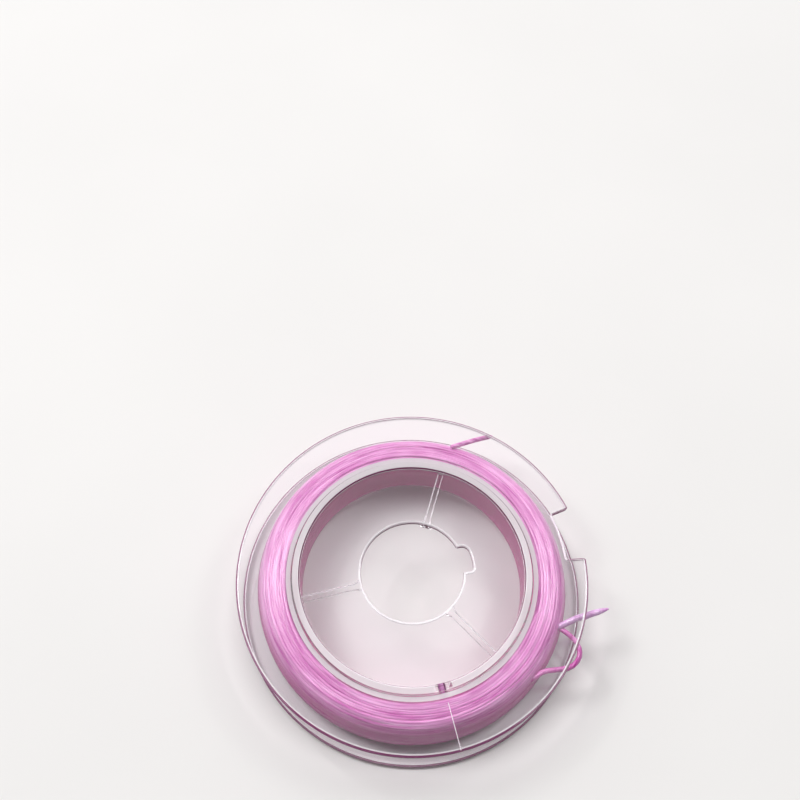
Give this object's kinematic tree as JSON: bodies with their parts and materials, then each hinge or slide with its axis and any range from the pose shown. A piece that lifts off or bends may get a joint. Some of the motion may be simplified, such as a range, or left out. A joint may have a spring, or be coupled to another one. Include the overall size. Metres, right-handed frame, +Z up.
{
  "type": "fishing line spool",
  "caption": "Small flat clear plastic line spool with wide flanges, a rim notch and a keyed hub hole, wound with glossy pink elastic line whose loose ends stand out past the rim.",
  "frame": {"origin": "centre of the rear flange's outer face, on the floor, on the spool's axis", "axes": "+Z up along the spool's axis towards the notched front flange; +X towards the side with the rim notch and the hub's key slot; +Y to the spool's far side in the picture"},
  "size_m": [0.057, 0.054, 0.01],
  "materials": {
    "clear_moulding": "glossy clear polystyrene",
    "pink_line": "glossy elastic line"
  },
  "bodies": {
    "root": {"rear_half": "clear_moulding", "front_half": "clear_moulding", "line_inner_layers": "pink_line", "line_outer_turns": "pink_line", "line_start_end": "pink_line", "line_slack_loop": "pink_line", "line_free_end": "pink_line", "line_tucked_tail": "pink_line"}
  },
  "joints": []
}
